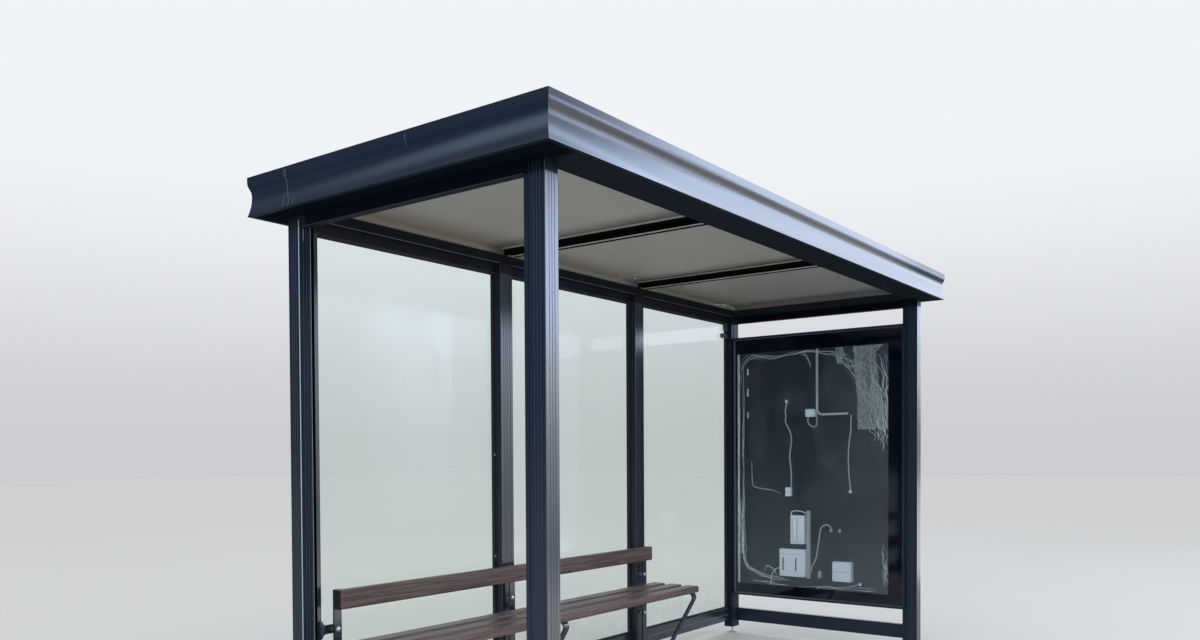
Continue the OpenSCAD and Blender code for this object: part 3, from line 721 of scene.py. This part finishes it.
strip_white = strip_finish("strip_white", (0.66, 0.66, 0.65), (0.36, 0.34, 0.31))
strip_pale = strip_finish("strip_pale", (0.40, 0.40, 0.42), (0.22, 0.21, 0.20))
strip_grey = strip_finish("strip_grey", (0.36, 0.35, 0.33), (0.24, 0.23, 0.21))
strip_dark = strip_finish("strip_dark", (0.075, 0.072, 0.070), (0.045, 0.042, 0.040))
beam_highlight_brown = strip_finish("beam_highlight_brown", (0.200, 0.185, 0.175), (0.120, 0.110, 0.100))
strip_black = strip_finish("strip_black", (0.002, 0.002, 0.003), (0.006, 0.006, 0.008))
bars_lo, bars_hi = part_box("ceiling_cross_bars")
beam_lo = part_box("back_roof_beam")[0]
bar_width = 0.050
bar_edges = [(bars_lo.x, bars_lo.x + bar_width), (bars_hi.x - bar_width, bars_hi.x)]
bar_under = bars_lo.z
sheet_under = 2.470
half_depth = 0.638
hair = 0.0002


def along_bar(low, high, z0, z1):
    """A bar from front to back between two places across the shelter and two heights."""
    return bar((low, -half_depth, z0), (high, half_depth, z1), 1)


under, over = bar_under - 0.007, sheet_under - hair
make("cross_bar_covers", [along_bar(left - 0.004, right + 0.012, under, bar_under - hair)
                          for left, right in bar_edges], strip_black)
make("cross_bar_pale_strips", [along_bar(right + 0.0125, right + 0.0255, under - 0.003, over)
                               for _, right in bar_edges], strip_pale)
make("cross_bar_black_strips", [along_bar(right + 0.0260, right + 0.0440, under - 0.006, over)
                                for _, right in bar_edges], strip_black)
second_bar = bar_edges[1][0]
make("sheet_gap_strip", [along_bar(second_bar - 0.038, second_bar - 0.0255, sheet_under - 0.003, over)],
     strip_dark)
make("sheet_edge_strips", [along_bar(left - 0.025, left - hair, sheet_under - 0.0045, over)
                           for left, _ in bar_edges], strip_grey)
# Painted highlight: a brown strip along the back beam's lower arris.
highlight_ends = ((-1.868, -0.692), (-0.588, 0.588), (0.692, 1.868))
make("back_beam_highlight", [bar((start, beam_lo.y + 0.0004, beam_lo.z - 0.0024),
                            (end, beam_lo.y + 0.0034, beam_lo.z - hair), 0)
                        for start, end in highlight_ends], beam_highlight_brown)

post_lo, post_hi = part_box("back_left_post")
# Painted shadow: a black strip down the back left post's front, where the groove beside its flange lies in
# shade.
make("post_groove_shadow", [bar((post_lo.x + 0.0625, post_lo.y - 0.0009, post_lo.z + 0.002),
                         (post_lo.x + 0.0745, post_lo.y - 0.0001, post_hi.z - 0.002), 2)], strip_black)

# %% [markdown]
# ### Bolts, clips and fasteners
# A bolt holds each upright at every spacer, a washer under its domed head.
# Its outline is drawn once as radius and height and turned. The bright
# clips on the second post's bead and the white push fasteners in the ceiling
# are as small, but they catch the eye.

# %% Bolts and fasteners
def bolt_steel():
    f = Finish("bolt_steel")
    scratch = f.noise(700.0, 3.0)
    dull = f.step(f.noise(90.0, 4.0), 0.4, 0.8)
    return f.done(f.surface(Base_Color=f.blend(dull, (0.72, 0.73, 0.75), (0.45, 0.44, 0.43)), Metallic=1.0,
                            Roughness=0.16 + dull * 0.2 + scratch * 0.05))


bright_steel = bolt_steel()
bolt = lathe([(0, 0), (0.0112, 0), (0.0116, 0.0005), (0.0112, 0.0017), (0.0105, 0.0020), (0.0082, 0.0020),
              (0.0084, 0.0030), (0.0078, 0.0046), (0.0062, 0.0060), (0.0040, 0.0069), (0.0018, 0.0073),
              (0, 0.0074)])
uprights_lo, uprights_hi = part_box("bench_uprights")
upright_x = np.array([uprights_lo.x + 0.020, -0.6525, uprights_hi.x - 0.020])
bolt_spots = [(upright_x[0], uprights_lo.y, 0.580)]
bolt_spots += [(x, uprights_lo.y, z) for x in upright_x[1:] for z in (0.330, 0.580)]
make("bench_bolts", copies(bolt, bolt_spots, "-y"), bright_steel)
bead_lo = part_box("glazing_beads")[0]
clips = [bar((-0.7035, bead_lo.y - 0.0035, z - 0.009), (-0.6925, bead_lo.y - hair, z + 0.009), 2)
         for z in (1.362, 0.8085)]
make("bead_clips", clips, bright_steel)
button = lathe([(0, 0), (0.0085, 0), (0.0088, 0.0006), (0.0082, 0.0016), (0.0060, 0.0028), (0.0032, 0.0034),
                (0.0030, 0.0030), (0, 0.0029)])
make("ceiling_fasteners", copies(button, [(1.840, 0.513, sheet_under), (0.390, 0.628, sheet_under),
                                          (0.475, 0.578, sheet_under)], "-z"), strip_white)

# %% [markdown]
# ### Details of the case's units
# The units in the poster case are moulded housings. The lower meter box has a
# ribbed window between two dark strips, the tall unit is a pair of half-round
# covers under an arched tube, and small screws hold the lids. Places are
# counted as the solids count them: millimetres from the case's front end,
# above its floor and out from its back.

# %% Unit details
def unit_place(a, b, depth):
    """Millimetres along, above and out from the case's back, as metres in the shelter's frame."""
    a, b, depth = np.broadcast_arrays(np.asarray(a, float), b, depth)
    return np.stack([1.966 - depth / 1000, -0.6325 + a / 1000, 0.300 + b / 1000], -1)


def ribbed_window(a0, a1, b0, b1, depth, ribs):
    """depth + height |sin(ribs pi v)| across the ribs, falling to depth at both sides."""
    v, u = np.meshgrid(np.linspace(0, 1, ribs * 10 + 1), np.linspace(0, 1, 25), indexing="ij")
    side = 1 - np.abs(2 * u - 1) ** 10
    return skin(unit_place(a1 + (a0 - a1) * u, b0 + (b1 - b0) * v,
                           depth + 0.05 + 1.6 * np.abs(np.sin(ribs * math.pi * v)) ** 0.7 * side)[::-1])


def half_round(a0, a1, b0, b1, depth, rise):
    """Half a superellipse across and a rounded rise along: depth + rise sin(u)^0.7 (1 - |2v - 1|^8)^0.5."""
    v, u = np.meshgrid(np.linspace(0, 1, 41), np.linspace(0, 1, 25), indexing="ij")
    dome = np.sin(math.pi * u) ** 0.7 * np.sqrt(np.maximum(0, 1 - np.abs(2 * v - 1) ** 8))
    return skin(unit_place(a1 + (a0 - a1) * u, b0 + (b1 - b0) * v, depth + 0.05 + rise * dome)[::-1])


def unit_bar(a, b, depth, width, height, thick):
    """A bar that fills width by height by thick from a corner, along the longer of its two sides."""
    corners = unit_place([a, a + width], [b, b + height], [depth, depth + thick])
    return bar(*np.sort(corners, axis=0), 2 if height > width else 1)


def dark_strip():
    f = Finish("dark_strip")
    scuff = f.noise(150.0, 4.0)
    return f.done(f.surface(Base_Color=f.blend(scuff, (0.012, 0.016, 0.024), (0.03, 0.035, 0.045)),
                            Roughness=0.25 + scuff * 0.2))


lens_dark = dark_strip()
make("unit_ribs", [ribbed_window(802, 884, 205, 295, 50, 9)], plastic)
make("unit_covers", [half_round(a, a + 37, 412, 592, 46, 13) for a in (748, 788)], plastic)
strips = [unit_bar(a, 203, 50.1, 9, 94, 2.4) for a in (788, 889)]
grooves = [unit_bar(785.5, 412, 46.1, 2, 180, 0.8), unit_bar(392, 217.6, 46.1, 104, 1.2, 0.8),
           unit_bar(735, 322, 42.1, 183, 1.6, 0.8)]
make("unit_strips", strips + grooves, lens_dark)
arch = smooth_path(unit_place([836, 839, 830, 806, 772, 740, 722, 712],
                              [608, 622, 634, 641, 641, 634, 619, 601],
                              [30, 31, 33, 34, 34, 32, 29, 25.4]))
make("unit_arch", [tube(arch, 0.0032)], plastic)
screw = lathe([(0, 0), (0.0034, 0), (0.0035, 0.0004), (0.0031, 0.0012), (0.0020, 0.0017), (0.0012, 0.0018),
               (0.0009, 0.0013), (0, 0.0012)], 18)
screw_spots = unit_place([736, 918, 736, 918, 384, 504, 384, 504, 668, 713],
                         [170, 170, 350, 350, 159, 159, 276, 276, 1338, 1338],
                         [42, 42, 42, 42, 46, 46, 46, 46, 38, 38])
make("unit_screws", copies(screw, screw_spots, "-x"), bright_steel)

# %% [markdown]
# ### Film on the case's glass
# An old poster film still clings to the inside of the pane: a strip along the
# back edge, a torn translucent sheet in the upper front corner and, where it
# shrank, a web of white folds. A sheet is a grid whose side edges are wavy
# and whose face ripples by half a millimetre. A fold is a narrow ribbon that
# wanders along a route, and many ribbons with random starts make the web. A
# fixed seed keeps the web the same in every render.

# %% Film
def film(name, cover, creased, colour, tatter):
    """See-through plastic whose share of white is its body times how whole it is.

    The body is cover (0.15 + 1.7 patch) + creased crease, the rest is 1 - tatter (1 - tears)."""
    f = Finish(name)
    crease = f.step(f.noise(30.0, 6.0, stretch=(1, 1.6, 0.5), rough=0.72, warp=1.5), 0.50, 0.72)
    patch = f.noise(6.0, 3.0)
    tears = f.step(f.noise(70.0, 5.0, stretch=(1, 1.4, 0.45), rough=0.7), 0.36, 0.58)
    body = cover * (0.15 + patch * 1.7) + crease * creased
    share = (body * (1.0 - tatter + tears * tatter)).at_most(0.97)
    white = f.surface(Base_Color=f.blend(crease, colour, (0.80, 0.86, 0.90)), Roughness=0.42 + patch * 0.2)
    return f.done(f.over_clear(share, white))


film_x = 1.8893
film_y = (-0.5375, 0.6210)
film_z = (0.3925, 2.1045)
ribbon_points = 44


def film_sheet(z, right, left, seed, ragged=0.004):
    """Between two side edges given at heights z: y runs from right to left, both a little ragged."""
    rng = np.random.default_rng(seed)
    v = np.linspace(0, 1, 90)
    height = np.interp(v, np.linspace(0, 1, len(z)), z)
    rough = lambda: np.convolve(rng.normal(0, ragged, 96), np.ones(7) / 2.6, "valid")
    start = np.interp(v, np.linspace(0, 1, len(z)), right) + rough()
    stop = np.interp(v, np.linspace(0, 1, len(z)), left) + rough()
    u = np.linspace(0, 1, 26)[None, :]
    y = np.clip(start[:, None] + (stop - start)[:, None] * u, *film_y)
    x = film_x + 0.0006 * (1 + np.sin(40 * y + 23 * height[:, None]) * np.sin(31 * height[:, None] - 9 * y))
    return skin(np.stack([x, y, np.broadcast_to(height[:, None], y.shape)], -1)[::-1])


def folds(route, count, spread, width, seed, span=(0.25, 0.8)):
    """Ribbons along a route of (y, z) points: route(t) + spread times slow sine noise, sideways."""
    rng = np.random.default_rng(seed)
    line = smooth_path(route)
    far = np.concatenate([[0], np.cumsum(np.linalg.norm(np.diff(line, axis=0), axis=1))])
    far /= far[-1]
    draw = lambda low, high: rng.uniform(low, high, (count, 1))
    begin = draw(0, 1 - span[0])
    u = np.linspace(0, 1, ribbon_points)[None, :]
    t = begin + (np.minimum(begin + draw(*span), 1) - begin) * u
    y, z = np.interp(t, far, line[:, 0]), np.interp(t, far, line[:, 1])
    offset = spread * (draw(-1, 1) + 0.45 * np.sin(t * draw(5, 11) + draw(0, 6))
                       + 0.22 * np.sin(t * draw(20, 45) + draw(0, 6)))
    dy, dz = np.gradient(y, axis=1), np.gradient(z, axis=1)
    size = np.hypot(dy, dz) + 1e-9
    ny, nz = -dz / size, dy / size
    y, z = y + ny * offset, z + nz * offset
    half = 0.5 * width * draw(0.4, 1) * np.sqrt(np.sin(math.pi * u) + 0.02)
    edge = np.array([1.0, -1.0])
    points = np.stack([np.broadcast_to((film_x + 0.0012 + draw(0, 0.0022))[..., None], y.shape + (2,)),
                       np.clip(y[..., None] + (ny * half)[..., None] * edge, *film_y),
                       np.clip(z[..., None] + (nz * half)[..., None] * edge, *film_z)], -1)
    index = np.arange(count * ribbon_points * 2).reshape(count, ribbon_points, 2)
    quads = np.stack([index[:, :-1, 0], index[:, 1:, 0], index[:, 1:, 1], index[:, :-1, 1]], -1)
    return points.reshape(-1, 3), [quads.reshape(-1, 4)]


thin_film = film("thin_film", 0.34, 0.30, (0.66, 0.72, 0.76), 0.25)
folded_film = film("folded_film", 1.10, 0.25, (0.97, 0.99, 1.00), 0.55)
edge_film = film("edge_film", 0.80, 0.20, (0.86, 0.91, 0.94), 0.35)
make("film_sheets", [
    film_sheet([2.1045, 2.06, 1.96, 1.86, 1.72, 1.60, 1.525],
               [-0.500, -0.452, -0.458, -0.470, -0.497, -0.508, -0.512],
               [-0.288, -0.290, -0.296, -0.303, -0.316, -0.321, -0.325], 3, 0.003),
    film_sheet([2.1045, 2.03, 1.99], [-0.215, -0.212, -0.206], [-0.157, -0.160, -0.172], 5, 0.002),
], thin_film)
make("film_edge", [
    film_sheet([2.1045, 1.6, 1.2, 0.8, 0.3925], [0.604, 0.602, 0.605, 0.601, 0.603], [0.621] * 5, 11, 0.0008),
    film_sheet([1.994, 1.948], [0.531, 0.530], [0.541, 0.540], 12, 0.0008),
    film_sheet([1.846, 1.790], [0.530, 0.530], [0.540, 0.541], 13, 0.0008),
    film_sheet([1.672, 1.627], [0.530, 0.530], [0.539, 0.541], 14, 0.0008),
], edge_film)
make("film_folds", [
    folds([(-0.40, 2.09), (-0.45, 1.95), (-0.49, 1.72), (-0.52, 1.50), (-0.535, 1.36)],
          26, 0.046, 0.0034, 21),
    folds([(-0.34, 1.98), (-0.40, 1.80), (-0.46, 1.62), (-0.50, 1.45)], 20, 0.050, 0.0030, 22, (0.2, 0.55)),
    folds([(-0.50, 2.09), (-0.53, 1.90), (-0.535, 1.60)], 9, 0.014, 0.0028, 23),
    folds([(-0.155, 2.10), (-0.20, 2.04), (-0.29, 1.98), (-0.38, 1.96)], 10, 0.030, 0.0030, 24),
    folds([(0.60, 1.85), (0.58, 2.02), (0.50, 2.08), (0.30, 2.06), (0.05, 2.085), (-0.25, 2.05)],
          8, 0.018, 0.0030, 25),
    folds([(0.12, 2.09), (0.06, 2.05), (0.03, 1.97)], 3, 0.010, 0.0026, 26),
    folds([(-0.02, 2.09), (-0.16, 2.05), (-0.30, 1.88), (-0.38, 1.72)], 4, 0.010, 0.0022, 27, (0.6, 0.9)),
    folds([(0.585, 2.05), (0.577, 1.70), (0.582, 1.30), (0.575, 0.95), (0.585, 0.60)], 8, 0.009, 0.0030, 28),
    folds([(0.600, 1.06), (0.575, 0.80), (0.562, 0.57), (0.49, 0.49), (0.35, 0.445), (0.20, 0.43)],
          10, 0.018, 0.0034, 29),
    folds([(0.40, 0.46), (0.38, 0.53), (0.32, 0.50), (0.30, 0.44)], 4, 0.010, 0.0024, 30, (0.6, 0.95)),
    folds([(0.55, 0.42), (0.1, 0.405), (-0.45, 0.41)], 9, 0.010, 0.0028, 31, (0.1, 0.4)),
    folds([(-0.49, 0.78), (-0.515, 0.66), (-0.52, 0.54), (-0.535, 0.45)], 12, 0.020, 0.0028, 32),
    folds([(0.505, 1.36), (0.503, 1.24), (0.495, 1.13), (0.44, 1.105), (0.33, 1.09), (0.255, 1.06)],
          2, 0.002, 0.0032, 33, (0.8, 1.0)),
], folded_film)

# %% [markdown]
# ## Studio
# A pale floor, an even pale surround and two soft lamps. The surround gives
# only a little light: what the camera, a reflection or a pane sees of it is
# pale, which Light Path tells apart. Close over the floor it is seen in the
# floor's own grey, so that no hard line crosses behind the glass. Reflections
# find the surround darker low down on the shelter's left, so that the left
# faces stay dark, and along the horizon beyond its right end, so that the
# posts' feet stay dark too.

# %% Floor
floor_mesh = bpy.data.meshes.new("studio_floor")
reach = 60.0
floor_mesh.from_pydata([(-reach, -reach, 0), (reach, -reach, 0), (reach, reach, 0), (-reach, reach, 0)],
                       [], [(0, 1, 2, 3)])
floor = bpy.data.objects.new("studio_floor", floor_mesh)
bpy.context.scene.collection.objects.link(floor)
f = Finish("studio_floor")
floor_mesh.materials.append(f.done(f.surface(
    Base_Color=f.blend(f.noise(0.8, 4.0), (0.78, 0.78, 0.77), (0.80, 0.80, 0.79)), Roughness=0.85)))
print("floor", reach * 2, "m across")

# %% Surround
world = bpy.data.worlds.new("studio")
bpy.context.scene.world = world
world.use_nodes = True
tree = world.node_tree
tree.nodes.clear()
ray = add_node(tree, "ShaderNodeLightPath")
seen, mirrored, passed = ray[0], ray[3], ray[6]
look = add_node(tree, "ShaderNodeTexCoord")[0]
look_x, look_y, look_z = add_node(tree, "ShaderNodeSeparateXYZ", sockets={0: look})
smooth = lambda value, low, high: smooth_step(tree, value, low, high)
dark_side = smooth(look_y * 0.6 - look_x * 0.8, -0.1, 0.7)
under_sky = 1.0 - smooth(look_z, 0.30, 0.85)
dark_rim = (1.0 - smooth(abs(look_z - 0.02), 0.01, 0.05)) * smooth(look_x, 0.85, 0.93)
shade = 1.0 - (dark_side * under_sky * 0.93 + dark_rim * 0.45) * mirrored
pale = (seen + mirrored + passed).at_most(1.0)
seen_level, floor_level, light_level = 0.92, 0.63, 0.80
above_floor = seen * (1.0 - smooth(look_z, 0.0, 0.30)) * (seen_level - floor_level)
strength = pale * shade * (seen_level - above_floor) + (1.0 - pale) * light_level
sky = add_node(tree, "ShaderNodeBackground", sockets={0: (0.95, 0.97, 1.0, 1.0), 1: strength})[0]
add_node(tree, "ShaderNodeOutputWorld", sockets={0: sky})
print("surround ready")

# %% [markdown]
# ### Lamps and cards
# Two softboxes light the shelter, beside the even light of the surround: the
# main one in front, and a fill on the left that no reflection shows. The
# paint's shine needs more: a photographer stands large glowing cards where
# the polished faces mirror them, which hardly change the light on the rest.
# Switching a lamp's diffuse rays off makes it such a card. Most stand in one
# long line in front of the shelter's right end, each post finds its own
# piece of the line, and each piece is a stack: dim low down, bright above,
# and mostly dimmer again towards the top. Two more hang high up for the
# fascia, and two lie on the floor for the faces that look down.

# %% Lamps and cards
def softbox(name, place, aim, width, height, radiance, colour, card=True):
    """A rectangular lamp; its power is radiance x pi x area."""
    lamp = bpy.data.lights.new(name, "AREA")
    lamp.shape = "RECTANGLE"
    lamp.size, lamp.size_y = width, height
    lamp.energy = radiance * math.pi * width * height
    lamp.color = colour
    stand = bpy.data.objects.new(name, lamp)
    stand.location = place
    stand.rotation_euler = (Vector(aim) - Vector(place)).to_track_quat("-Z", "Y").to_euler()
    stand.visible_diffuse = not card
    stand.visible_camera = False
    bpy.context.scene.collection.objects.link(stand)
    return stand


low_white, high_blue, pale_blue = (0.86, 0.93, 1.0), (0.56, 0.71, 1.0), (0.62, 0.75, 1.0)
line_start = Vector((7.9, -8.8, 0))
line_way, line_facing = Vector((0.565, 0.825, 0)), Vector((-0.825, 0.565, 0))
# Each row: where it starts and ends along the line, then (bottom, top, radiance, colour) upwards.
stacks = [
    ("a", -2.85, -1.20, [(1.9, 3.2, 0.6, low_white), (3.2, 6.0, 0.9, high_blue)]),
    ("b", -1.20, 0.30, [(0.2, 1.8, 1.2, low_white), (1.8, 2.4, 2.4, low_white), (2.4, 3.2, 4.2, low_white),
                        (3.2, 5.4, 8.8, high_blue), (5.4, 6.0, 6.0, high_blue), (6.0, 11.0, 0.4, high_blue)]),
    ("m", 0.30, 0.90, [(0.3, 3.2, 0.8, low_white), (3.2, 5.0, 2.6, high_blue), (5.0, 11.0, 1.5, high_blue)]),
    ("c", 0.90, 2.10, [(0.3, 1.9, 0.15, low_white), (1.9, 3.2, 0.75, low_white), (3.2, 5.2, 1.4, high_blue),
                       (5.2, 11.0, 4.0, high_blue)]),
    ("d", 2.10, 3.00, [(3.2, 11.0, 5.2, high_blue)]),
    ("e", 3.00, 5.50, [(0.3, 3.2, 0.9, low_white), (3.2, 11.0, 3.3, pale_blue)]),
    ("f", 5.50, 8.45, [(0.2, 0.9, 1.6, low_white), (1.9, 2.4, 0.8, low_white), (2.4, 3.2, 1.7, low_white),
                       (3.2, 4.1, 3.2, pale_blue), (4.1, 11.0, 2.0, pale_blue)]),
]
for letter, start, end, cards in stacks:
    for number, (bottom, top, radiance, colour) in enumerate(cards):
        place = line_start + line_way * ((start + end) / 2) + Vector((0, 0, (bottom + top) / 2))
        softbox(f"card_{letter}{number}", place, place + line_facing, end - start, top - bottom,
                radiance, colour)
high_way = Vector((-4.6, 1.85, -7.75))
for name, place, radiance, colour in (("high_card_left", (3.04, -2.08, 11.28), 0.9, (0.42, 0.62, 1.0)),
                                      ("high_card_right", (6.16, -3.32, 9.12), 2.9, (0.53, 0.70, 1.0))):
    softbox(name, place, Vector(place) + high_way, 9.5, 4.0, radiance, colour)
softbox("floor_card_near", (1.4, -3.6, 0.02), (1.4, -3.6, 5.0), 4.2, 3.4, 0.95, (1.0, 0.98, 0.96))
softbox("floor_card_far", (10.4, -3.6, 0.02), (10.4, -3.6, 5.0), 9.5, 3.8, 1.9, (1.0, 0.98, 0.93))
softbox("main_softbox", (-2.0, -7.0, 7.5), (0, 0, 1.0), 5.0, 4.0, 2.6, (1.0, 0.98, 0.95), card=False)
left_fill = softbox("left_fill", (-9.5, -1.0, 3.2), (1.5, 0, 1.2), 5.0, 3.5, 3.2, (0.95, 0.98, 1.0),
                    card=False)
left_fill.visible_glossy = False
